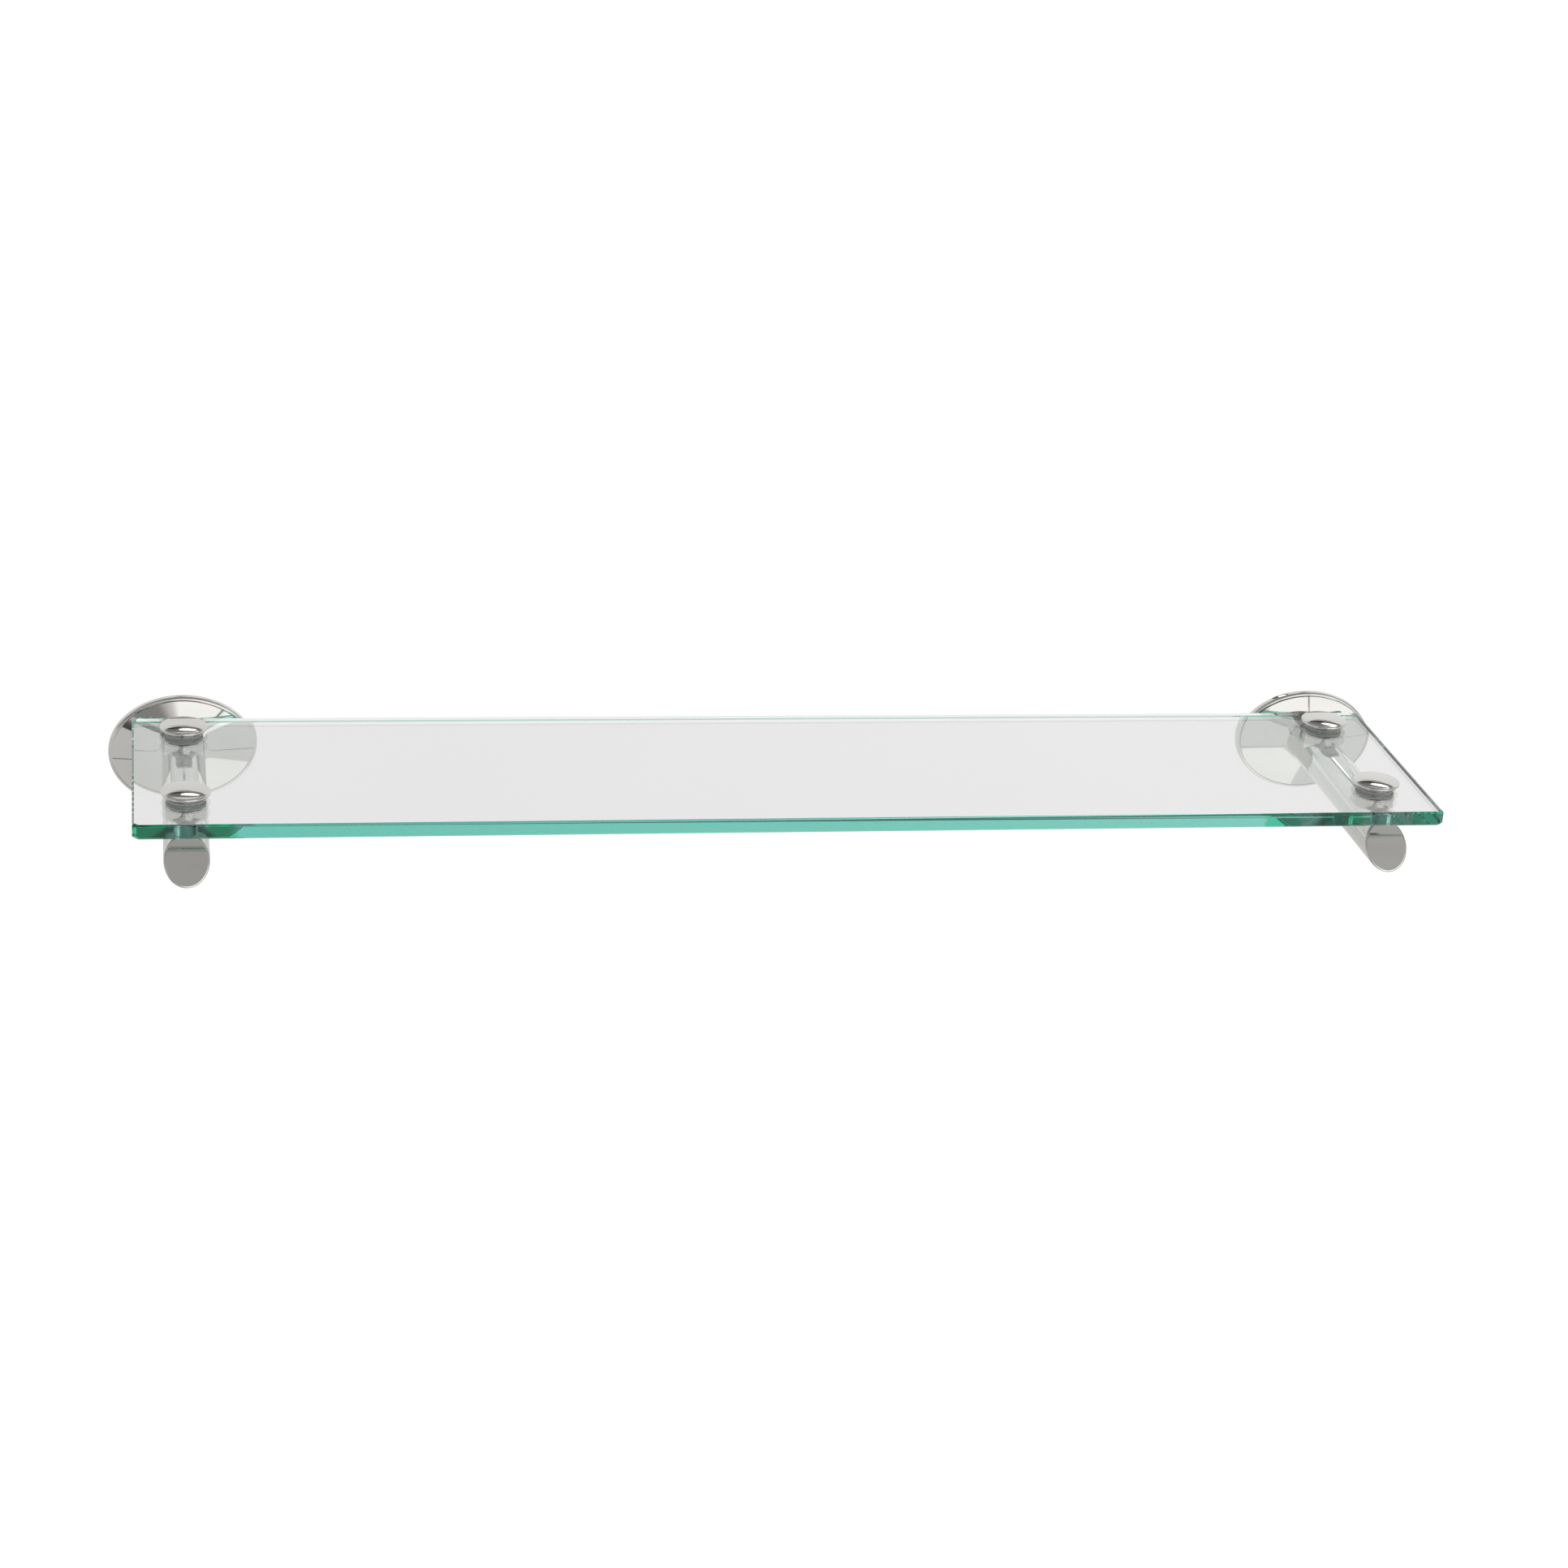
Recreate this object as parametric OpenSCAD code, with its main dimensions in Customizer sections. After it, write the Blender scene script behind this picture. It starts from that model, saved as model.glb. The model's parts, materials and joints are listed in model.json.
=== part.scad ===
// Glass wall shelf on two round-bar brackets with oval wall flanges.
// Millimetres. The wall is the plane Y = 0 and the shelf reaches out along -Y, with +X to the right.
// The origin is midway between the two brackets, level with their arms.

/* [Glass shelf] */
// Length of the glass along the wall
glass_w = 610; // [400:5:900]
// Depth of the glass, from its back edge to its front edge
glass_d = 127; // [115:1:170]
// Thickness of the glass
glass_t = 7; // [6:0.5:10]
// Gap between the wall and the back edge of the glass
wall_gap = 10.5; // [10:0.5:16]
// Width of the ground bevel along every edge of the glass
arris = 0.9; // [0.5:0.1:1.2]
// Size of the clipped corners of the glass
corner_clip = 2; // [1:0.5:4]

/* [Brackets] */
// Distance between the centres of the two brackets
bracket_spacing = 562; // [320:1:800]
// Diameter of the arm
arm_d = 20.7; // [19:0.1:22]
// Slope of the cut end of the arm, measured from upright
arm_cut_angle = 36; // [0:1:45]
// How far the lowest point of the cut end reaches past the front edge of the glass
arm_reach = 0.5; // [0:0.5:12]

/* [Wall flange] */
// Width of the oval flange
flange_w = 70.5; // [66:0.5:90]
// Height of the oval flange
flange_h = 56.5; // [55:0.5:70]
// Depth of the rim that stands against the wall
rim_depth = 4; // [4:0.5:6]
// Distance from the wall to the front of the hub
hub_front = 10.8; // [10.6:0.1:11]
// Diameter of the front of the hub
hub_d = 23; // [22.5:0.5:26]

/* [Clamps] */
// Distance between the front clamp and the rear clamp of a bracket
clamp_spacing = 78; // [60:1:80]
// Distance from the back edge of the glass to the rear clamp
rear_inset = 18; // [16:1:24]
// Diameter of the post and of the neck of the cap
post_d = 19.2; // [16:0.2:20]
// Diameter of the head of the cap
cap_d = 22.6; // [20:0.2:26]
// Height of the whole cap, neck and head
cap_h = 3.8; // [3.6:0.1:6]
// Height of the crown on top of the cap
cap_dome = 0.7; // [0.3:0.1:1]
// Diameter of the threaded stud
stud_d = 6; // [5:0.5:8]

/* [Hidden] */
$fn = 96;
SIDES = ["left", "right"];
PLACES = ["rear", "front"];
BRACKET_PIECES = ["flange", "arm", "arm_bolt", "wall_plate", "set_screw"];
CLAMP_PIECES = ["post", "gasket", "sleeve", "washer", "cap", "stud"];

nickel = [0.78, 0.77, 0.74];
steel = [0.62, 0.63, 0.65];
zinc = [0.70, 0.72, 0.72];
clear_plastic = [0.86, 0.88, 0.88, 0.6];
green_glass = [0.62, 0.86, 0.78, 0.45];

running_fit = 0.05;
cut_margin = 1;

arm_r = arm_d / 2;
post_crown = 2.4;
gasket_t = 0.8;
washer_t = 0.5;
glass_z = arm_r + post_crown + gasket_t;
glass_top = glass_z + glass_t;
glass_back = -wall_gap;
glass_front = glass_back - glass_d;
rear_y = glass_back - rear_inset;
front_y = rear_y - clamp_spacing;
arm_tip_y = glass_front - arm_reach;

glass_hole_r = stud_d / 2 + 2;
sleeve_r = glass_hole_r - 0.1;
clearance_r = stud_d / 2 + 0.25;
stud_grip = 8.5;
stud_bottom = arm_r - stud_grip;
stud_hole_bottom = stud_bottom - 1.2;
cap_z = glass_top + washer_t;
neck_h = 1.6;
cap_edge_r = 0.8;
stud_top = cap_z + cap_h - 1.4;

rim_bevel = 1.3;
flange_wall = 3.5;
step_depth = 0.4;
step_w = 0.5;
plate_t = 3;
plate_cavity = plate_t + 0.1;
bolt_head_r = 5;
bolt_head_h = 3;
bolt_r = 3;
bolt_hex = 4;
cavity_r = 15;
cavity_depth = plate_t + bolt_head_h + 0.2;
web_t = 2.2;
spigot_r = 7;
spigot_start = cavity_depth + web_t;
bolt_length = 14;

plate_w = flange_w - 10;
plate_h = flange_h - 10;
plate_hole_r = 2.5;
plate_hole_spacing = 32;
set_screw_r = 1.5;
set_screw_length = 4.5;
set_screw_y = 2;
set_screw_recess = 0.4;

function bracket_x(side) = (side == "left" ? -1 : 1) * bracket_spacing / 2;
function clamp_y(place) = place == "rear" ? rear_y : front_y;

// Moves a bracket's pieces from the middle of the wall to their own side.
module at_bracket(side) {
    translate([bracket_x(side), 0, 0]) children();
}

// Moves a clamp's pieces onto the arm.
module at_clamp(side, place) {
    translate([bracket_x(side), clamp_y(place), 0]) children();
}

// A round bar that runs out from the wall, from one distance to another.
module bar_from_wall(r, from, to) {
    translate([0, -from, 0])
        rotate([90, 0, 0])
            cylinder(r = r, h = to - from);
}

// An upright round bar.
module upright(r, from, to) {
    translate([0, 0, from]) cylinder(r = r, h = to - from);
}

// An oval slab that lies against the wall, from one distance to another.
module oval_from_wall(w, h, from, to) {
    translate([0, -from, 0])
        rotate([90, 0, 0])
            linear_extrude(height = to - from)
                polygon([for (i = [1 : $fn]) [w / 2 * cos(360 * i / $fn), h / 2 * sin(360 * i / $fn)]]);
}

// The outline of the glass with its corners clipped.
module glass_outline(inset) {
    w = glass_w / 2 - inset;
    f = glass_front + inset;
    b = glass_back - inset;
    c = corner_clip;
    polygon([
        [-w + c, f], [w - c, f], [w, f + c], [w, b - c],
        [w - c, b], [-w + c, b], [-w, b - c], [-w, f + c]
    ]);
}

// The sheet of glass with a ground bevel along every edge, before it is drilled.
module glass_sheet() {
    hull() {
        translate([0, 0, glass_z + arris]) linear_extrude(glass_t - 2 * arris) glass_outline(0);
        translate([0, 0, glass_z]) linear_extrude(glass_t) glass_outline(arris);
    }
}

module glass_shelf() {
    color(green_glass)
        difference() {
            glass_sheet();
            for (s = SIDES, q = PLACES)
                at_clamp(s, q)
                    upright(glass_hole_r, glass_z - cut_margin, glass_top + cut_margin);
        }
}

// The outside of the flange: a straight rim, a bevel, a fine step and a cone up to the round hub.
module flange_blank() {
    skin = 0.01;
    face_w = flange_w - 2 * rim_bevel;
    face_h = flange_h - 2 * rim_bevel;
    oval_from_wall(flange_w, flange_h, 0, rim_depth - rim_bevel);
    hull() {
        oval_from_wall(flange_w, flange_h, rim_depth - rim_bevel - skin, rim_depth - rim_bevel);
        oval_from_wall(face_w, face_h, rim_depth - skin, rim_depth);
    }
    hull() {
        oval_from_wall(face_w - 2 * step_w, face_h - 2 * step_w, rim_depth - skin, rim_depth + step_depth);
        bar_from_wall(hub_d / 2, hub_front - skin, hub_front);
    }
}

module flange(side) {
    color(nickel)
        at_bracket(side)
            difference() {
                flange_blank();
                oval_from_wall(
                    flange_w - 2 * flange_wall, flange_h - 2 * flange_wall, -cut_margin, plate_cavity
                );
                bar_from_wall(cavity_r, 0, cavity_depth);
                bar_from_wall(bolt_r + 0.3, cavity_depth - cut_margin, spigot_start + cut_margin);
                bar_from_wall(spigot_r + running_fit, spigot_start, hub_front + cut_margin);
                translate([0, -set_screw_y, 0])
                    upright(set_screw_r + running_fit, -flange_h, -flange_h / 2 + 2 * flange_wall);
            }
}

// A half space in front of the sloping end of the arm.
module arm_end_cut() {
    reach = 3 * arm_d;
    translate([0, arm_tip_y, -arm_r])
        rotate([-arm_cut_angle, 0, 0])
            translate([-reach, -2 * reach, -reach])
                cube([2 * reach, 2 * reach, 3 * reach]);
}

module arm(side) {
    color(nickel)
        at_bracket(side)
            difference() {
                union() {
                    bar_from_wall(arm_r, hub_front, -arm_tip_y + cut_margin);
                    bar_from_wall(spigot_r, spigot_start + running_fit, hub_front + cut_margin);
                }
                arm_end_cut();
                bar_from_wall(bolt_r + running_fit, 0, cavity_depth + bolt_length + 1.5);
                for (q = PLACES)
                    translate([0, clamp_y(q), 0])
                        upright(stud_d / 2 + running_fit, stud_hole_bottom, arm_r + cut_margin);
            }
}

// The screw that draws the arm's spigot into the hub from behind.
module arm_bolt(side) {
    color(steel)
        at_bracket(side)
            difference() {
                union() {
                    bar_from_wall(bolt_head_r, cavity_depth - bolt_head_h, cavity_depth);
                    bar_from_wall(bolt_r, cavity_depth, cavity_depth + bolt_length);
                }
                translate([0, bolt_head_h - cavity_depth + cut_margin, 0])
                    rotate([90, 0, 0])
                        cylinder(d = bolt_hex / cos(30), h = 2 + cut_margin, $fn = 6);
            }
}

// The plate that is screwed to the wall inside the flange.
module wall_plate(side) {
    color(zinc)
        at_bracket(side)
            difference() {
                oval_from_wall(plate_w, plate_h, 0, plate_t);
                for (z = [-1, 1] * plate_hole_spacing / 2)
                    translate([0, 0, z])
                        bar_from_wall(plate_hole_r, -cut_margin, plate_t + cut_margin);
            }
}

// The small headless screw under the flange that locks it to the wall plate.
module set_screw(side) {
    bottom = set_screw_recess - flange_h / 2;
    color(steel)
        at_bracket(side)
            translate([0, -set_screw_y, 0])
                difference() {
                    upright(set_screw_r, bottom, bottom + set_screw_length);
                    upright(0.85, bottom - cut_margin, bottom + 1.5, $fn = 6);
                }
}

// The short post between the arm and the glass, saddled over the round arm.
module post(side, place) {
    color(nickel)
        at_clamp(side, place)
            difference() {
                upright(post_d / 2, 0, arm_r + post_crown);
                translate([0, arm_d, 0]) bar_from_wall(arm_r, 0, 2 * arm_d);
                upright(clearance_r, -cut_margin, arm_r + post_crown + cut_margin);
            }
}

// A flat ring, used for the soft rings above and below the glass.
module ring(outer_r, inner_r, from, to) {
    difference() {
        upright(outer_r, from, to);
        upright(inner_r, from - cut_margin, to + cut_margin);
    }
}

module gasket(side, place) {
    color(clear_plastic)
        at_clamp(side, place)
            ring(post_d / 2 - 0.4, clearance_r, arm_r + post_crown, glass_z);
}

// The bush that keeps the stud off the edge of the hole in the glass.
module sleeve(side, place) {
    color(clear_plastic)
        at_clamp(side, place)
            ring(sleeve_r, clearance_r, glass_z + 0.1, glass_top - 0.1);
}

module washer(side, place) {
    color(clear_plastic)
        at_clamp(side, place)
            ring(post_d / 2 - 0.4, clearance_r, glass_top, cap_z);
}

// Half of the cap's outline: neck, overhanging head with a rounded edge, and a shallow crown.
function cap_crown(steps) =
    let (flat_r = cap_d / 2 - cap_edge_r, top = cap_z + cap_h)
    [for (i = [0 : steps]) let (x = flat_r * i / steps) [x, top - cap_dome * pow(x / flat_r, 2)]];
function cap_edge(steps) =
    let (r = cap_edge_r, cx = cap_d / 2 - r, cz = cap_z + cap_h - cap_dome - r)
    [for (i = [1 : steps]) let (a = 90 - 90 * i / steps) [cx + r * cos(a), cz + r * sin(a)]];

module cap(side, place) {
    head_z = cap_z + neck_h;
    color(nickel)
        at_clamp(side, place)
            difference() {
                rotate_extrude()
                    polygon(concat(
                        [[0, cap_z], [0, cap_z + cap_h]],
                        [for (p = cap_crown(8)) if (p[0] > 0) p],
                        cap_edge(4),
                        [[cap_d / 2 - 0.4, head_z], [post_d / 2, head_z], [post_d / 2, cap_z]]
                    ));
                upright(stud_d / 2, cap_z - cut_margin, stud_top);
            }
}

module stud(side, place) {
    color(steel)
        at_clamp(side, place)
            upright(stud_d / 2, stud_bottom, stud_top);
}

glass_shelf();
for (s = SIDES) {
    flange(s);
    arm(s);
    arm_bolt(s);
    wall_plate(s);
    set_screw(s);
    for (q = PLACES) {
        post(s, q);
        gasket(s, q);
        sleeve(s, q);
        washer(s, q);
        cap(s, q);
        stud(s, q);
    }
}
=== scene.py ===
"""The looks of a glass wall shelf on two round-bar brackets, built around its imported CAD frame. Metres."""

import json
import math

import bmesh
import bpy
from mathutils import Matrix, Vector


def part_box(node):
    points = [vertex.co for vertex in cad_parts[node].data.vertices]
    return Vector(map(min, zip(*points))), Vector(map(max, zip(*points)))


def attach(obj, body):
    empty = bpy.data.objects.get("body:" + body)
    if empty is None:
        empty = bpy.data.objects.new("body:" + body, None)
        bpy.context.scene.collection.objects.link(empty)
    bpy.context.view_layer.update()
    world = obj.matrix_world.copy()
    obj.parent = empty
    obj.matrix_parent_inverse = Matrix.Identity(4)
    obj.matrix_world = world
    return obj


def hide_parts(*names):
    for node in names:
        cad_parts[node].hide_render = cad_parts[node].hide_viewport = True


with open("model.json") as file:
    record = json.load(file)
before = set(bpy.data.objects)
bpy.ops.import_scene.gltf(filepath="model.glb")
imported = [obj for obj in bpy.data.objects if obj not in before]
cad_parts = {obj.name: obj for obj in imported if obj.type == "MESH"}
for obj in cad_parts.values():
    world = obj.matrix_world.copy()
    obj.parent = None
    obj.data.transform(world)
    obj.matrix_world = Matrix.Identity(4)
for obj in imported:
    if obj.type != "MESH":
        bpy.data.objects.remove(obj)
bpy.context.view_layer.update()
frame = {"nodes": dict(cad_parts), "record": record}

MM = 0.001
SIDES = ("left", "right")
CLAMPS = ("left_rear", "left_front", "right_rear", "right_front")
RECORD = frame["record"]
BODY_OF = {node: body for body, nodes in RECORD["behaviour"]["bodies"].items() for node in nodes}
SLOT_OF = {part["node"]: part["material_slot"] for part in RECORD["subparts"]}

# Camera: where it stands, how it is turned, its lens, and how far the frame is shifted.
CAMERA_PLACE = (-0.3009, -1.5296, 0.6333)
CAMERA_YAW = math.radians(10.744)
CAMERA_PITCH = math.radians(21.989)
CAMERA_ROLL = math.radians(3.713)
CAMERA_LENS = 78
CAMERA_SENSOR = 36
CAMERA_SHIFT = 0.030

# Flange: the rim, the fine groove and step inside it, the cone, the hub and the hollow behind them.
RIM_DEPTH = 4 * MM
RIM_BEVEL = 1.3 * MM
RIM_BACK_EDGE = 0.3 * MM
STEP_WIDTH = 0.5 * MM
STEP_DEPTH = 0.4 * MM
GROOVE_DEPTH = 0.8 * MM
GROOVE_DRAFT = 0.05 * MM
HUB_RADIUS = 11.5 * MM
HUB_EDGE = 0.5 * MM
HUB_LAP = 1 * MM
CONE_RINGS = 12
FLANGE_WALL = 3.5 * MM
CAVITY_DEPTH = 3.1 * MM
POCKET_RADIUS = 15 * MM
POCKET_DEPTH = 6.2 * MM

# Arm: the rounding of its cut end, the cut's slope, the plain length and the spigot inside the hub.
ARM_EDGE = 1.1 * MM
ARM_PLAIN = 5 * MM
ARM_SLOPE = math.tan(math.radians(36))
SPIGOT_RADIUS = 7 * MM
SPIGOT_LENGTH = 2.35 * MM

# Stage: half the width of the floor, the sweep around it, and how far the floor lies below the shelf.
STAGE_SIZE = 30
DOME_RADIUS = 27
FLOOR_DROP = 1.2
SHEET_GAP = 1 * MM
FLOOR_WHITE = (1.05, 1.05, 1.05)
FLOOR_GREY = (0.75, 0.75, 0.745)
FLOOR_BEHIND = (0.803, 0.762, 0.770)

# The lit part of the floor and the dark line across it, as the metal mirrors them: tone, place and size.
LIT_TONE = (1.2, 1.2, 1.2)
LIT_PLACE = (0.265, -1.1)
LIT_SIZE = (0.77, 1.8)
LINE_TONE = (0.25, 0.25, 0.25)
LINE_PLACE = (0, -2.04)
LINE_SIZE = (6, 0.07)

# Clamp: neck, head and crown of the cap, edges of the post and the rings, the stud's hole and its thread.
NECK_HEIGHT = 1.6 * MM
NECK_EDGE = 0.2 * MM
NECK_EDGE_TOP = 0.25 * MM
CAP_EDGE = 0.8 * MM
CAP_CROWN = 0.7 * MM
CROWN_RINGS = 24
# How far below the crown's edge the painted shade under a cap's head begins.
CAP_SHADE_DROP = 1.2 * MM
POST_EDGE = 0.3 * MM
RING_EDGE = 0.2 * MM
STUD_RADIUS = 3 * MM
STUD_HOLE = STUD_RADIUS + 0.25 * MM
THREAD_DEPTH = 0.6 * MM
THREAD_PITCH = 1 * MM
THREAD_ROWS = 8
THREAD_SIDES = 48

# How far a piece keeps clear of the metal it rests on, and how close two faces are when they touch.
CONTACT_GAP = 0.02 * MM
TOUCHING = 0.1 * MM

# Nickel: the two tones that its polish varies between in the open, and the two darker tones of the painted
# shade below the heads of the caps.
NICKEL_DARK = (0.60, 0.59, 0.565)
NICKEL_LIGHT = (0.635, 0.625, 0.60)
SHADE_UNDER_HEAD_DARK = (0.22, 0.22, 0.21)
SHADE_UNDER_HEAD_LIGHT = (0.30, 0.30, 0.29)

# Glass: the tones that its faces, its front edge and its other edges vary between, the deeper green of the
# painted reflection on its front edge, and its body's green.
FACE_DULL = (0.985, 0.99, 0.988)
FACE_CLEAR = (1, 1, 1)
EDGE_GREEN = (0.25, 0.675, 0.60)
EDGE_PALE = (0.34, 0.69, 0.63)
EDGE_REFLECTION_GREEN = (0.015, 0.52, 0.28)
BACK_GREEN = (0.66, 0.92, 0.84)
BACK_PALE = (0.74, 0.94, 0.88)
BODY_GREEN = (0.30, 0.80, 0.70)
BODY_DENSITY = 6

# Where the front edge is painted a deeper green as a painted reflection: from and to, in mm to the right of
# each bracket's centre.
REFLECTION_SPANS = {"left": ((-39, -8.5), (8.5, 21)), "right": ((-36, -17), (7.5, 39))}
# How far the ends of the painted reflection on the front edge wander.
REFLECTION_WANDER = 8 * MM

# The other materials: the two tones of each.
PLASTIC_DULL = (0.95, 0.91, 0.89)
PLASTIC_CLEAR = (0.98, 0.96, 0.95)
STEEL_DARK = (0.42, 0.43, 0.45)
STEEL_LIGHT = (0.62, 0.63, 0.65)
ZINC_DARK = (0.50, 0.53, 0.55)
ZINC_LIGHT = (0.68, 0.70, 0.71)

# How many points the large and the small round sections have.
FINE = 192
ROUND = 96


# ---------------------------------------------------------------- measures


def box_half_width(node):
    low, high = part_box(node)
    return (high.x - low.x) / 2


def around(count):
    """The angles of a full turn."""
    return [2 * math.pi * i / count for i in range(count)]


def arc(centre, radius, start, end, steps):
    """Points along an arc, in degrees, both ends included."""
    angles = [math.radians(start + (end - start) * i / steps) for i in range(steps + 1)]
    return [(centre[0] + radius * math.cos(a), centre[1] + radius * math.sin(a)) for a in angles]


# ---------------------------------------------------------------- mesh helpers


def loft(rings, closed=False, ends=True):
    """A skin over a row of rings. A ring of one point is a pole. Closed joins the last ring to the first."""
    bm = bmesh.new()
    rows = [[bm.verts.new(point) for point in ring] for ring in rings]
    pairs = list(zip(rows, rows[1:]))
    if closed:
        pairs.append((rows[-1], rows[0]))
    for low, high in pairs:
        join_rings(bm, low, high)
    if ends and not closed:
        for row in (rows[0], rows[-1]):
            if len(row) > 2:
                bm.faces.new(row)
    return bm


def join_rings(bm, low, high):
    """Faces between two rings of the same count, or between a ring and a pole."""
    count = max(len(low), len(high))
    for i in range(count):
        j = (i + 1) % count
        if len(low) == 1:
            bm.faces.new((low[0], high[j], high[i]))
        elif len(high) == 1:
            bm.faces.new((low[i], low[j], high[0]))
        else:
            bm.faces.new((low[i], low[j], high[j], high[i]))


def circle(centre, radius, height, count=ROUND):
    """A level circle about an upright axis, or one point where its radius is nothing."""
    if radius < 1e-7:
        return [Vector((centre.x, centre.y, height))]
    return [
        Vector((centre.x + radius * math.cos(a), centre.y + radius * math.sin(a), height))
        for a in around(count)
    ]


def turned(profile, centre, closed=False, count=ROUND):
    """A turned solid about an upright axis. The profile is a row of (radius, height)."""
    rings = [circle(centre, radius, height, count) for radius, height in profile]
    return loft(rings, closed=closed, ends=False)


def place(bm, node, material, sharp=28):
    """Turns a mesh into the piece that stands for a CAD node, and lets it ride on that node's body."""
    bmesh.ops.recalc_face_normals(bm, faces=bm.faces)
    mesh = bpy.data.meshes.new(node + "_skin")
    bm.to_mesh(mesh)
    bm.free()
    mesh.shade_smooth()
    mesh.set_sharp_from_angle(angle=math.radians(sharp))
    mesh.materials.append(material)
    piece = bpy.data.objects.new(node + "_skin", mesh)
    bpy.context.scene.collection.objects.link(piece)
    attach(piece, BODY_OF[node])
    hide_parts(node)
    return piece


# ---------------------------------------------------------------- materials


def new_material(name):
    """A material with its principled shader."""
    material = bpy.data.materials.new(name)
    material.use_nodes = True
    return material, material.node_tree.nodes["Principled BSDF"]


def add_node(material, kind, **settings):
    node = material.node_tree.nodes.new(kind)
    for name, value in settings.items():
        setattr(node, name, value)
    return node


def link(material, source, target):
    material.node_tree.links.new(source, target)


def object_place(material, stretch=(1, 1, 1)):
    """Coordinates in the piece's own frame, stretched along its axes."""
    coordinates = add_node(material, "ShaderNodeTexCoord")
    mapping = add_node(material, "ShaderNodeMapping")
    mapping.inputs["Scale"].default_value = stretch
    link(material, coordinates.outputs["Object"], mapping.inputs["Vector"])
    return mapping.outputs["Vector"]


def noise(material, scale, detail=3, stretch=(1, 1, 1)):
    texture = add_node(material, "ShaderNodeTexNoise")
    texture.inputs["Scale"].default_value = scale
    texture.inputs["Detail"].default_value = detail
    link(material, object_place(material, stretch), texture.inputs["Vector"])
    return texture.outputs["Fac"]


def spread(material, source, low, high, start=0.3, end=0.7):
    """Maps a source onto low to high, from start to end or from the middle range of a texture."""
    node = add_node(material, "ShaderNodeMapRange")
    node.inputs["From Min"].default_value = start
    node.inputs["From Max"].default_value = end
    node.inputs["To Min"].default_value = low
    node.inputs["To Max"].default_value = high
    link(material, source, node.inputs["Value"])
    return node.outputs["Result"]


def tone(material, source, dark, light, start=0.3, end=0.7):
    """A colour that runs from dark to light as the source rises."""
    node = add_node(material, "ShaderNodeMix", data_type="RGBA")
    link(material, spread(material, source, 0, 1, start, end), node.inputs["Factor"])
    node.inputs["A"].default_value = (*dark, 1)
    node.inputs["B"].default_value = (*light, 1)
    return node.outputs["Result"]


def bump(material, shader, source, strength, distance):
    node = add_node(material, "ShaderNodeBump")
    node.inputs["Strength"].default_value = strength
    node.inputs["Distance"].default_value = distance
    link(material, source, node.inputs["Height"])
    link(material, node.outputs["Normal"], shader.inputs["Normal"])


def calculate(material, operation, *values):
    """One math node, fed with numbers and with the results of other nodes."""
    node = add_node(material, "ShaderNodeMath", operation=operation)
    for socket, value in zip(node.inputs, values):
        if isinstance(value, (int, float)):
            socket.default_value = value
        else:
            link(material, value, socket)
    return node.outputs["Value"]


def split(material, vector):
    """The three axes of a vector."""
    node = add_node(material, "ShaderNodeSeparateXYZ")
    link(material, vector, node.inputs["Vector"])
    return node.outputs


def pick(material, mask, outside, inside):
    """One colour inside a mask and another outside it."""
    node = add_node(material, "ShaderNodeMix", data_type="RGBA")
    link(material, mask, node.inputs["Factor"])
    link(material, outside, node.inputs["A"])
    link(material, inside, node.inputs["B"])
    return node.outputs["Result"]


def nickel_material(name, groove=None):
    """Polished nickel plate, a little warm, with faint wipe marks. Below the height given as groove it is
    painted darker: painted shade under a cap's head.
    """
    material, shader = new_material(name)
    shader.inputs["Metallic"].default_value = 1
    wipes = noise(material, 40, 4, (1, 6, 1))
    colour = tone(material, wipes, NICKEL_DARK, NICKEL_LIGHT)
    # Painted shade: below the given height the nickel takes two much darker tones, for the shade under a
    # cap's head.
    if groove:
        height = split(material, object_place(material))["Z"]
        unshaded_share = spread(material, height, 0, 1, groove - 0.1 * MM, groove + 0.1 * MM)
        painted_shade_tone = tone(material, wipes, SHADE_UNDER_HEAD_DARK, SHADE_UNDER_HEAD_LIGHT)
        colour = pick(material, unshaded_share, painted_shade_tone, colour)
    link(material, colour, shader.inputs["Base Color"])
    link(material, spread(material, wipes, 0.035, 0.07), shader.inputs["Roughness"])
    return material


def painted_reflection_mask(material):
    """A mask of where a reflection is painted on the front edge as a deeper green, beside the brackets. Its
    ends are uneven.
    """
    along = split(material, object_place(material))["X"]
    place_x = calculate(material, "MULTIPLY_ADD", noise(material, 150, 2), REFLECTION_WANDER, along)
    mask = 0
    for side in SIDES:
        low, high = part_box(side + "_arm")
        centre = (low.x + high.x) / 2 + REFLECTION_WANDER / 2
        for start, end in REFLECTION_SPANS[side]:
            begin, stop = centre + start * MM, centre + end * MM
            rise = spread(material, place_x, 0, 1, begin - MM, begin + MM)
            fall = spread(material, place_x, 1, 0, stop - MM, stop + MM)
            mask = calculate(material, "MULTIPLY_ADD", rise, fall, mask)
    return mask


def front_edge_colour(material, streaks):
    """Green that grows paler to the right, and deeper beside the brackets, where a reflection is painted."""
    along = split(material, object_place(material, (1.5, 1, 1)))["X"]
    fade = calculate(material, "MULTIPLY_ADD", streaks, 0.25, along)
    edge = tone(material, fade, EDGE_GREEN, EDGE_PALE, -0.25, 0.5)
    painted_reflection = add_node(material, "ShaderNodeRGB").outputs["Color"]
    painted_reflection.default_value = (*EDGE_REFLECTION_GREEN, 1)
    # Painted reflection: beside the brackets the front edge is painted a deep green.
    return pick(material, painted_reflection_mask(material), edge, painted_reflection)


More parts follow.
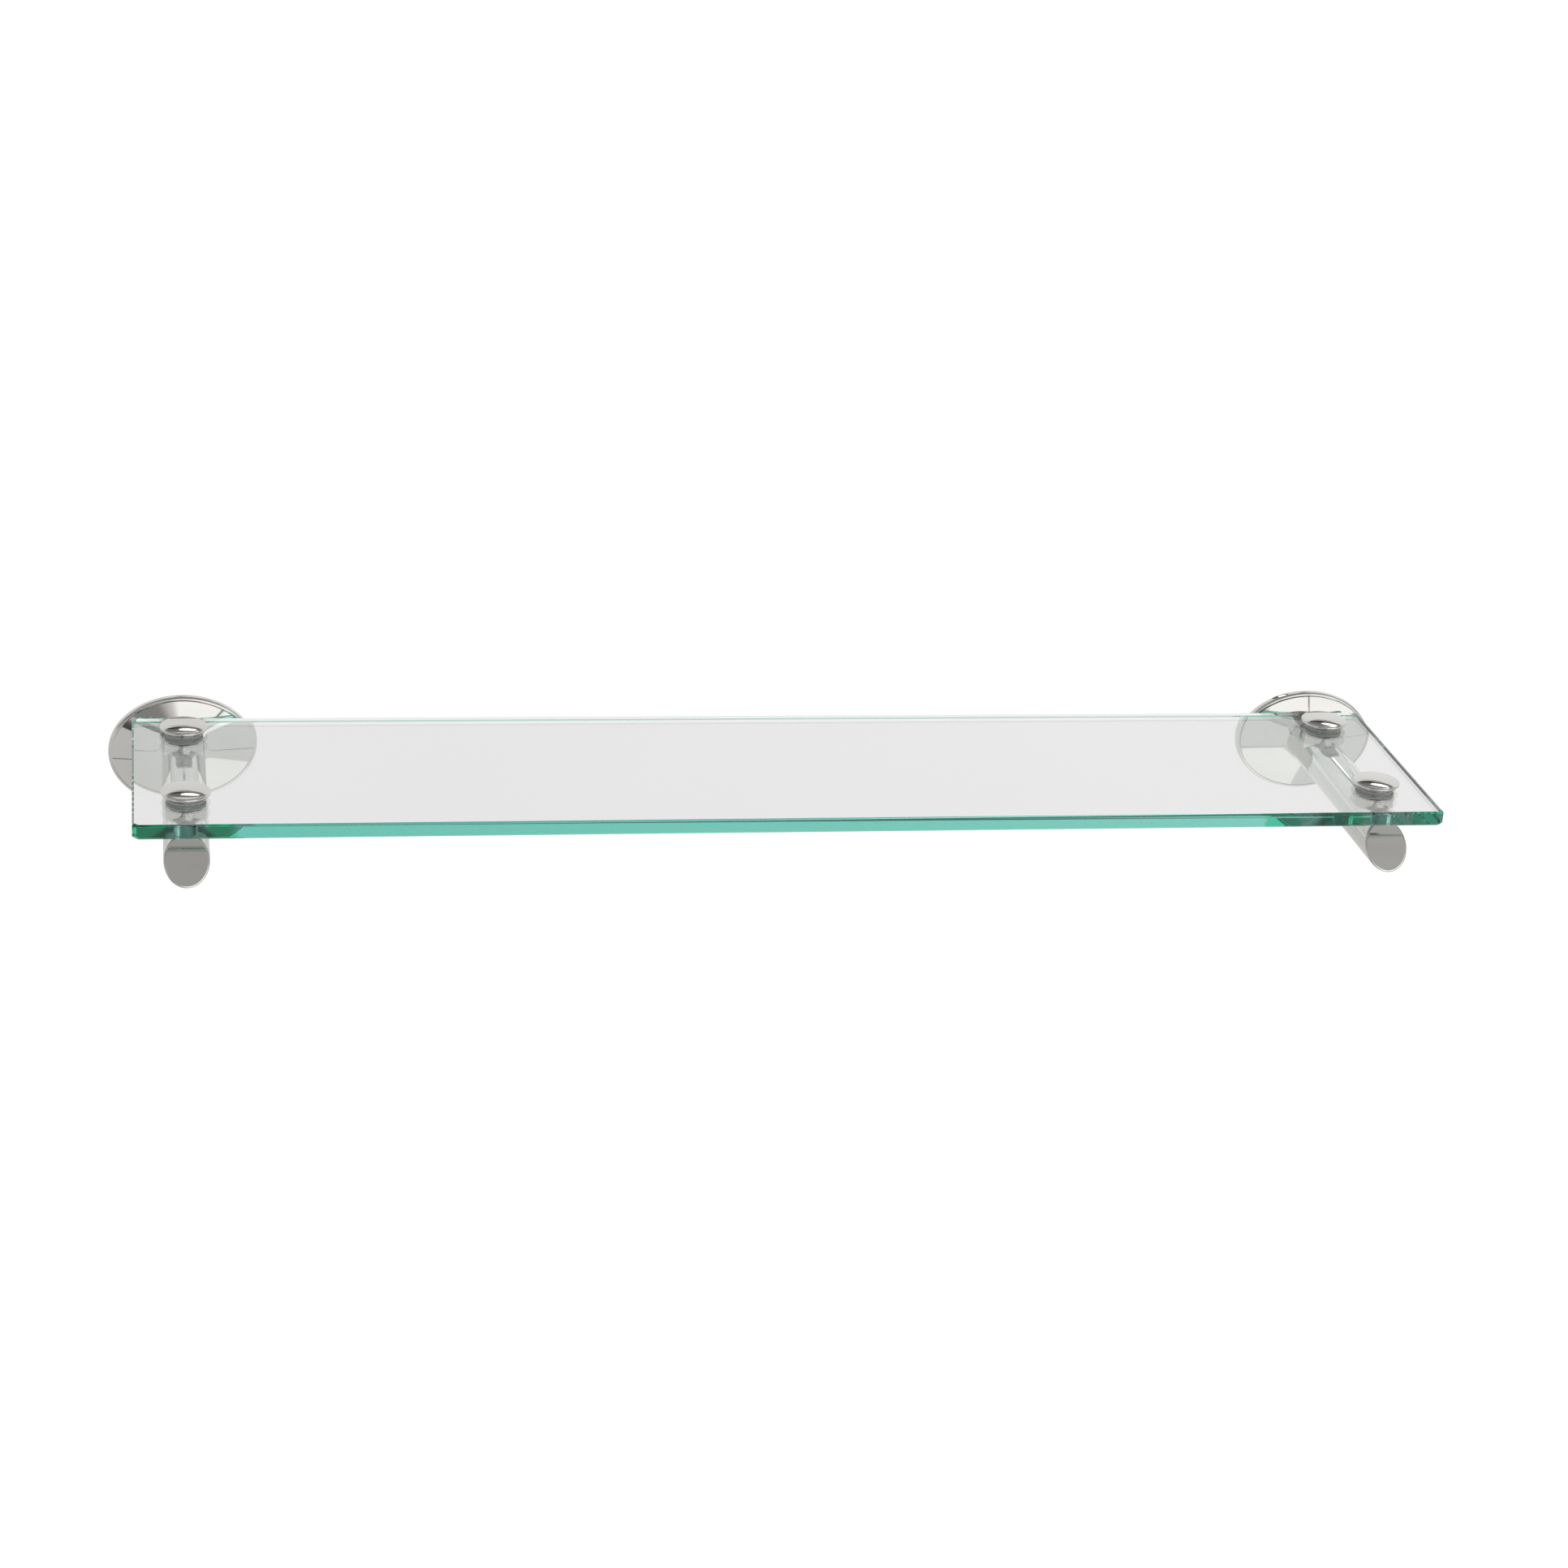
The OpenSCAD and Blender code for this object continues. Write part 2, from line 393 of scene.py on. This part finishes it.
def glass_material():
    """Clear float glass, faintly green through its body. Its edges are greener, its front edge carries a
    painted reflection beside the brackets, and its ends are ground.
    """
    material, shader = new_material("green_float_glass")
    shader.inputs["Transmission Weight"].default_value = 1
    shader.inputs["IOR"].default_value = 1.52
    smears = noise(material, 9, 3)
    streaks = noise(material, 30, 3, (1, 1, 8))
    normal = split(material, add_node(material, "ShaderNodeTexCoord").outputs["Normal"])
    is_front = calculate(material, "LESS_THAN", normal["Y"], -0.4)
    is_edge = calculate(material, "LESS_THAN", calculate(material, "ABSOLUTE", normal["Z"]), 0.9)
    is_end = calculate(material, "GREATER_THAN", calculate(material, "ABSOLUTE", normal["X"]), 0.8)
    face = tone(material, smears, FACE_DULL, FACE_CLEAR)
    colour = pick(material, is_edge, face, tone(material, smears, BACK_GREEN, BACK_PALE))
    colour = pick(material, is_front, colour, front_edge_colour(material, streaks))
    link(material, colour, shader.inputs["Base Color"])
    ground = calculate(material, "MULTIPLY", is_end, spread(material, streaks, 0.4, 0.55))
    link(material, ground, shader.inputs["Roughness"])
    body = add_node(material, "ShaderNodeVolumeAbsorption")
    body.inputs["Color"].default_value = (*BODY_GREEN, 1)
    body.inputs["Density"].default_value = BODY_DENSITY
    link(material, body.outputs["Volume"], material.node_tree.nodes["Material Output"].inputs["Volume"])
    return material


def plastic_material():
    """Clear soft plastic, slightly milky."""
    material, shader = new_material("clear_soft_plastic")
    shader.inputs["Transmission Weight"].default_value = 0.35
    shader.inputs["IOR"].default_value = 1.45
    grain = noise(material, 300, 2)
    link(material, tone(material, grain, PLASTIC_DULL, PLASTIC_CLEAR), shader.inputs["Base Color"])
    link(material, spread(material, grain, 0.15, 0.3), shader.inputs["Roughness"])
    return material


def steel_material():
    """Plain turned steel with fine machining marks."""
    material, shader = new_material("turned_steel")
    shader.inputs["Metallic"].default_value = 1
    marks = noise(material, 900, 2, (0.2, 0.2, 3))
    link(material, tone(material, marks, STEEL_DARK, STEEL_LIGHT), shader.inputs["Base Color"])
    link(material, spread(material, marks, 0.22, 0.38), shader.inputs["Roughness"])
    bump(material, shader, marks, 0.15, 0.05 * MM)
    return material


def zinc_material():
    """Zinc-plated sheet with its crystal spangle."""
    material, shader = new_material("zinc_plate")
    shader.inputs["Metallic"].default_value = 1
    crystals = add_node(material, "ShaderNodeTexVoronoi")
    crystals.inputs["Scale"].default_value = 320
    link(material, object_place(material), crystals.inputs["Vector"])
    cell = crystals.outputs["Color"]
    link(material, tone(material, cell, ZINC_DARK, ZINC_LIGHT, 0, 1), shader.inputs["Base Color"])
    link(material, spread(material, cell, 0.32, 0.5, 0, 1), shader.inputs["Roughness"])
    bump(material, shader, cell, 0.08, 0.05 * MM)
    return material


NICKEL = nickel_material("polished_nickel")
# The caps' nickel is painted darker from the lower part of the head's rounded edge down: painted shade under
# the head.
CAP_NICKEL = nickel_material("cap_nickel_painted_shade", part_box("left_front_cap")[1].z - CAP_CROWN - CAP_SHADE_DROP)
GLASS = glass_material()
PLASTIC = plastic_material()
STEEL = steel_material()
ZINC = zinc_material()
MATERIALS = {"nickel": NICKEL, "glass": GLASS, "clear_plastic": PLASTIC, "steel": STEEL, "zinc": ZINC}


# ---------------------------------------------------------------- the brackets


def oval(centre, half_width, half_height, depth):
    """An upright oval at a distance from the wall."""
    return [
        Vector((centre.x + half_width * math.cos(a), -depth, centre.z + half_height * math.sin(a)))
        for a in around(FINE)
    ]


def build_flange(side):
    """An oval shell: a hollow back, a bevelled rim, a fine groove, and a cone up to a round hub."""
    node = side + "_flange"
    low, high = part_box(node)
    centre = (low + high) / 2
    half_w = (high.x - low.x) / 2
    half_h = (high.z - low.z) / 2
    hub_front = -low.y
    cone_inset = RIM_BEVEL + STEP_WIDTH
    cone_start = RIM_DEPTH + STEP_DEPTH
    groove_floor = RIM_DEPTH - GROOVE_DEPTH

    def ring(inset, depth):
        return oval(centre, half_w - inset, half_h - inset, depth)

    def round_ring(radius, depth):
        return oval(centre, radius, radius, depth)

    rings = [[Vector((centre.x, -POCKET_DEPTH, centre.z))]]
    rings += [round_ring(POCKET_RADIUS, POCKET_DEPTH), round_ring(POCKET_RADIUS, CAVITY_DEPTH)]
    rings += [ring(FLANGE_WALL, CAVITY_DEPTH), ring(FLANGE_WALL, 0)]
    rings += [ring(RIM_BACK_EDGE, 0), ring(0, RIM_BACK_EDGE)]
    bevel = arc((RIM_BEVEL, RIM_DEPTH - RIM_BEVEL), RIM_BEVEL, 180, 90, 8)
    rings += [ring(inset, depth) for inset, depth in bevel]
    rings.append(ring(RIM_BEVEL + GROOVE_DRAFT, groove_floor))
    rings.append(ring(cone_inset - GROOVE_DRAFT, groove_floor))
    for i in range(CONE_RINGS + 1):
        share = i / CONE_RINGS
        rings.append(oval(
            centre,
            (half_w - cone_inset) * (1 - share) + HUB_RADIUS * share,
            (half_h - cone_inset) * (1 - share) + HUB_RADIUS * share,
            cone_start * (1 - share) + (hub_front - HUB_EDGE / 2) * share,
        ))
    rings.append(round_ring(HUB_RADIUS - HUB_EDGE, hub_front))
    rings.append(round_ring(box_half_width(side + "_arm") - HUB_LAP, hub_front))
    rings.append([Vector((centre.x, -hub_front, centre.z))])
    return place(loft(rings, ends=False), node, NICKEL, sharp=20)


def build_arm(side):
    """A round bar. A spigot holds it in the hub, and its free end is cut on a slope."""
    node = side + "_arm"
    low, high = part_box(node)
    centre = (low + high) / 2
    radius = (high.x - low.x) / 2
    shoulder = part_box(side + "_flange")[0].y
    tip = low.y

    def section(ring_radius, y):
        return [
            Vector((centre.x + ring_radius * math.cos(a), y, centre.z + ring_radius * math.sin(a)))
            for a in around(FINE)
        ]

    def cut_section(ring_radius, back):
        points = section(ring_radius, 0)
        for point in points:
            point.y = tip + back + (point.z - centre.z + radius) * ARM_SLOPE
        return points

    rings = [section(SPIGOT_RADIUS, shoulder + SPIGOT_LENGTH), section(SPIGOT_RADIUS, shoulder)]
    rings += [section(radius, shoulder), section(radius, shoulder - ARM_PLAIN)]
    rounding = arc((radius - ARM_EDGE, ARM_EDGE), ARM_EDGE, 0, -90, 8)
    rings += [cut_section(ring_radius, back) for ring_radius, back in rounding]
    return place(loft(rings), node, NICKEL, sharp=40)


# ---------------------------------------------------------------- the clamps


def build_post(clamp):
    """The post is saddled over the round arm and bored for the stud, and its top edge is broken."""
    node = clamp + "_post"
    low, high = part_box(node)
    centre = (low + high) / 2
    radius = (high.x - low.x) / 2
    arm_radius = box_half_width(clamp.split("_")[0] + "_arm")
    top = high.z - CONTACT_GAP

    def saddle(ring_radius):
        points = circle(centre, ring_radius, 0)
        for point in points:
            point.z = math.sqrt(arm_radius ** 2 - (point.x - centre.x) ** 2) + CONTACT_GAP
        return points

    rings = [saddle(STUD_HOLE)] + [saddle(radius * share) for share in (0.5, 0.75, 1)]
    rings += [circle(centre, radius, high.z - POST_EDGE), circle(centre, radius - POST_EDGE, top)]
    rings.append(circle(centre, STUD_HOLE, top))
    return place(loft(rings, closed=True), node, NICKEL)


def build_ring(node):
    """A soft ring with rounded edges. It wets the glass that it presses on, and stays clear of the metal."""
    low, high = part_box(node)
    glass_low, glass_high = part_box("glass_shelf")
    outer = (high.x - low.x) / 2
    bottom = low.z + CONTACT_GAP
    top = high.z - CONTACT_GAP
    if abs(low.z - glass_high.z) < TOUCHING:
        bottom = low.z - CONTACT_GAP / 2
    if abs(high.z - glass_low.z) < TOUCHING:
        top = high.z + CONTACT_GAP / 2
    edge = min(RING_EDGE, (top - bottom) / 3)
    profile = [(STUD_HOLE, bottom), (STUD_HOLE, top)]
    profile += arc((outer - edge, top - edge), edge, 90, 0, 4)
    profile += arc((outer - edge, bottom + edge), edge, 0, -90, 4)
    return place(turned(profile, (low + high) / 2, closed=True), node, PLASTIC)


def build_cap(clamp):
    """The screw cap: a neck, an overhanging head with a rounded edge, and a polished crown."""
    node = clamp + "_cap"
    low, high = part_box(node)
    radius = (high.x - low.x) / 2
    neck = box_half_width(clamp + "_post")
    head = low.z + NECK_HEIGHT
    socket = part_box(clamp + "_stud")[1].z
    flat = radius - CAP_EDGE
    edge_height = high.z - CAP_CROWN - CAP_EDGE
    profile = [(0, socket), (STUD_RADIUS, socket), (STUD_RADIUS, low.z + CONTACT_GAP)]
    profile += [(neck - NECK_EDGE, low.z + CONTACT_GAP), (neck, low.z + NECK_EDGE_TOP), (neck, head)]
    profile += arc((flat, edge_height), CAP_EDGE, -35, 90, 14)
    for i in range(1, CROWN_RINGS + 1):
        share = 1 - i / CROWN_RINGS
        profile.append((flat * share, high.z - CAP_CROWN * share ** 2))
    return place(turned(profile, (low + high) / 2, count=FINE), node, CAP_NICKEL, sharp=32)


def build_stud(clamp):
    """A threaded stud. The thread is one wave wound once round for each pitch."""
    node = clamp + "_stud"
    low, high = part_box(node)
    centre = (low + high) / 2
    rows = int(round((high.z - low.z) / THREAD_PITCH * THREAD_ROWS))
    rings = []
    for row in range(rows + 1):
        z = low.z + (high.z - low.z) * row / rows
        fade = min(1, (z - low.z) / THREAD_PITCH)
        ring = []
        for a in around(THREAD_SIDES):
            wave = 0.5 + 0.5 * math.cos(2 * math.pi * z / THREAD_PITCH - a)
            radius = STUD_RADIUS - THREAD_DEPTH + THREAD_DEPTH * wave * fade
            ring.append(Vector((centre.x + radius * math.cos(a), centre.y + radius * math.sin(a), z)))
        rings.append(ring)
    return place(loft(rings), node, STEEL, sharp=80)


def build_clamp(clamp):
    build_post(clamp)
    for ring in ("_gasket", "_sleeve", "_washer"):
        build_ring(clamp + ring)
    build_cap(clamp)
    build_stud(clamp)


def dress_cad_node(node):
    """A CAD node that stays, with its own shape and the material of its slot."""
    piece = frame["nodes"][node]
    piece.data.materials.clear()
    piece.data.materials.append(MATERIALS[SLOT_OF[node]])


# ---------------------------------------------------------------- studio


def camera():
    """The camera stands in front of the shelf's left end, above it, and leans a little."""
    forward = Vector((
        math.sin(CAMERA_YAW) * math.cos(CAMERA_PITCH),
        math.cos(CAMERA_YAW) * math.cos(CAMERA_PITCH),
        -math.sin(CAMERA_PITCH),
    ))
    level = Vector((math.cos(CAMERA_YAW), -math.sin(CAMERA_YAW), 0))
    upright = level.cross(forward)
    right = level * math.cos(CAMERA_ROLL) + upright * math.sin(CAMERA_ROLL)
    up = upright * math.cos(CAMERA_ROLL) - level * math.sin(CAMERA_ROLL)
    data = bpy.data.cameras.new("camera")
    data.lens = CAMERA_LENS
    data.sensor_width = CAMERA_SENSOR
    data.shift_x = CAMERA_SHIFT
    data.shift_y = -CAMERA_SHIFT
    data.clip_end = 100
    stand = bpy.data.objects.new("camera", data)
    turn = Matrix((right, up, -forward)).transposed().to_4x4()
    stand.matrix_world = Matrix.Translation(CAMERA_PLACE) @ turn
    bpy.context.scene.collection.objects.link(stand)
    bpy.context.scene.camera = stand


def glowing(name, brightness):
    """A material that shines evenly and takes no light."""
    material = bpy.data.materials.new(name)
    material.use_nodes = True
    nodes = material.node_tree.nodes
    nodes.remove(nodes["Principled BSDF"])
    glow = nodes.new("ShaderNodeEmission")
    glow.inputs["Color"].default_value = (*brightness, 1)
    material.node_tree.links.new(glow.outputs["Emission"], nodes["Material Output"].inputs["Surface"])
    return material


def stage_piece(name, bm, material):
    mesh = bpy.data.meshes.new(name)
    bm.to_mesh(mesh)
    bm.free()
    mesh.materials.append(material)
    piece = bpy.data.objects.new(name, mesh)
    bpy.context.scene.collection.objects.link(piece)
    return piece


def level_sheet(name, material):
    """A sheet as wide as the stage, at the height of the floor."""
    bm = bmesh.new()
    bmesh.ops.create_grid(bm, x_segments=1, y_segments=1, size=STAGE_SIZE)
    sheet = stage_piece(name, bm, material)
    sheet.location.z = -FLOOR_DROP
    return sheet


def dome(name, material):
    """A ball around the stage, seen from inside."""
    bm = bmesh.new()
    bmesh.ops.create_uvsphere(bm, u_segments=32, v_segments=16, radius=DOME_RADIUS)
    return stage_piece(name, bm, material)


def floor_patch(name, brightness, centre, size, layer):
    """A glowing patch of the floor. The patches lie in layers, a little above each other."""
    patch = level_sheet(name, glowing(name, brightness))
    patch.scale = (size[0] / STAGE_SIZE / 2, size[1] / STAGE_SIZE / 2, 1)
    patch.location = (centre[0], centre[1], layer * SHEET_GAP - FLOOR_DROP)
    patch.visible_camera = False
    return patch


def floor():
    """The floor and the sweep behind it are plain white. The metal and the glass show a pale grey floor."""
    white = glowing("floor_white", FLOOR_WHITE)
    for seen in (level_sheet("floor", white), dome("sweep", white)):
        seen.visible_diffuse = False
        seen.visible_glossy = False
        seen.visible_transmission = False
    whole = (2 * STAGE_SIZE, 2 * STAGE_SIZE)
    through = floor_patch("floor_through_glass", FLOOR_BEHIND, (0, 0), whole, 1)
    through.visible_glossy = False
    through.visible_diffuse = False
    mirrored = floor_patch("floor_mirrored", FLOOR_GREY, (0, 0), whole, 2)
    lit = floor_patch("floor_lit", LIT_TONE, LIT_PLACE, LIT_SIZE, 4)
    line = floor_patch("floor_line", LINE_TONE, LINE_PLACE, LINE_SIZE, 6)
    for sheet in (mirrored, lit, line):
        sheet.visible_transmission = False


class Sky:
    """The studio around the shelf, as brightness by compass angle and height, both in degrees."""

    def __init__(self, base):
        world = bpy.data.worlds.new("studio")
        world.use_nodes = True
        bpy.context.scene.world = world
        self.tree = world.node_tree
        coordinates = self.tree.nodes.new("ShaderNodeTexCoord")
        axes = self.tree.nodes.new("ShaderNodeSeparateXYZ")
        self.tree.links.new(coordinates.outputs["Generated"], axes.inputs["Vector"])
        x, y, z = axes.outputs
        self.height = self.degrees(self.math("ARCSINE", z))
        self.from_back = self.degrees(self.math("ARCTAN2", x, y))
        self.from_front = self.degrees(self.math("ARCTAN2", x, self.math("MULTIPLY", y, -1)))
        self.level = base

    def math(self, operation, *values):
        """One math node, fed with numbers and with the results of other nodes."""
        node = self.tree.nodes.new("ShaderNodeMath")
        node.operation = operation
        for socket, value in zip(node.inputs, values):
            self.feed(socket, value)
        return node.outputs["Value"]

    def feed(self, socket, value):
        if isinstance(value, (int, float)):
            socket.default_value = value
        else:
            self.tree.links.new(value, socket)

    def degrees(self, value):
        return self.math("DEGREES", value)

    def step(self, value, edge, soft, falling=False):
        """A soft step at an edge, from 0 up to 1, or down when falling."""
        node = self.tree.nodes.new("ShaderNodeMapRange")
        node.interpolation_type = "SMOOTHSTEP"
        low, high = edge - soft / 2, edge + soft / 2
        node.inputs["From Min"].default_value = low
        node.inputs["From Max"].default_value = high
        node.inputs["To Min"].default_value = 1 if falling else 0
        node.inputs["To Max"].default_value = 0 if falling else 1
        self.feed(node.inputs["Value"], value)
        return node.outputs["Result"]

    def patch(self, compass, span, heights, brightness, soft):
        """Paints a soft-edged patch over what is there."""
        wide = self.between(compass, span, soft)
        tall = self.between(self.height, heights, soft)
        self.blend(self.math("MULTIPLY", wide, tall), brightness)

    def between(self, value, span, soft):
        return self.math("MULTIPLY", self.step(value, span[0], soft), self.step(value, span[1], soft, True))

    def blend(self, mask, brightness):
        keep = self.math("MULTIPLY", self.level, self.math("SUBTRACT", 1, mask))
        self.level = self.math("MULTIPLY_ADD", mask, brightness, keep)

    def spot(self, compass, centre, radii, brightness, soft=0.3):
        """Paints a soft-edged oval over what is there."""
        across = self.math("DIVIDE", self.math("SUBTRACT", compass, centre[0]), radii[0])
        up = self.math("DIVIDE", self.math("SUBTRACT", self.height, centre[1]), radii[1])
        reach = self.math("ADD", self.math("POWER", across, 2), self.math("POWER", up, 2))
        self.blend(self.step(reach, 1, soft, True), brightness)

    def finish(self):
        background = self.tree.nodes["Background"]
        self.tree.links.new(self.level, background.inputs["Color"])


# The walls as the metal mirrors them: span of compass angles, span of heights, brightness and softness.
BACK_WALL = (
    ((-95, 95), (-20, 40), 0.93, 3),
    ((12, 95), (-20, 40), 1.02, 20),
)
FRONT_CEILING = (
    ((-80, 80), (38, 70), 0.48, 6),
    ((12, 80), (38, 70), 0.56, 6),
    ((-60, 60), (61, 73), 0.12, 3),
)
FRONT_WALL = (
    ((-85, 85), (-20, 36), 0.8, 6),
    ((-110, -50), (12, 45), 0.5, 6),
    ((50, 110), (12, 45), 0.5, 6),
)
DARK_CORNER = (
    ((-45, -10), (-20, 26), 0.32, 8),
    ((-45, -25), (-20, 26), 0.08, 4),
    ((-24.6, -23.2), (-20, 26), 0.7, 1),
    ((-10, 3), (-20, 10), 0.6, 5),
)
WINDOW = (
    ((-4, 50), (10, 36), 1.45, 6),
    ((3, 50), (-20, 36), 1.45, 4),
    ((20.4, 21.2), (10, 30), 0.1, 0.5),
)

# The lamp in its dark frame, as a cap mirrors it. Each spot has its angle from the lamp's own and its
# height, its half width and half height, and its brightness. The left and the right caps each see a lamp.
LAMP_COMPASS = (0.8, 22.3)
LAMP = (
    ((0, 31.2), (6.8, 4.6), 0.22),
    ((-1.5, 25.6), (3.2, 0.4), 0.3),
    ((-3.2, 29.0), (2.6, 1.2), 0.02),
    ((1.6, 31.8), (3.4, 1.5), 3.0),
)
SKY_TONE = 0.35


def studio():
    """Pale walls, a lamp for the caps, a window at the front right and a dark corner at the front left."""
    sky = Sky(SKY_TONE)
    for span, heights, brightness, soft in BACK_WALL:
        sky.patch(sky.from_back, span, heights, brightness, soft)
    for compass in LAMP_COMPASS:
        for (offset, height), radii, brightness in LAMP:
            sky.spot(sky.from_back, (compass + offset, height), radii, brightness)
    for span, heights, brightness, soft in FRONT_CEILING + FRONT_WALL + DARK_CORNER + WINDOW:
        sky.patch(sky.from_front, span, heights, brightness, soft)
    sky.finish()


# ---------------------------------------------------------------- the scene

camera()
floor()
studio()
for side in SIDES:
    build_flange(side)
    build_arm(side)
    dress_cad_node(side + "_arm_bolt")
    dress_cad_node(side + "_wall_plate")
    dress_cad_node(side + "_set_screw")
for clamp in CLAMPS:
    build_clamp(clamp)
dress_cad_node("glass_shelf")

bpy.context.scene.view_settings.view_transform = "Standard"

# Light is reflected many times inside the glass before it leaves by the front edge.
bpy.context.scene.cycles.max_bounces = 32
bpy.context.scene.cycles.glossy_bounces = 24
bpy.context.scene.cycles.transmission_bounces = 24
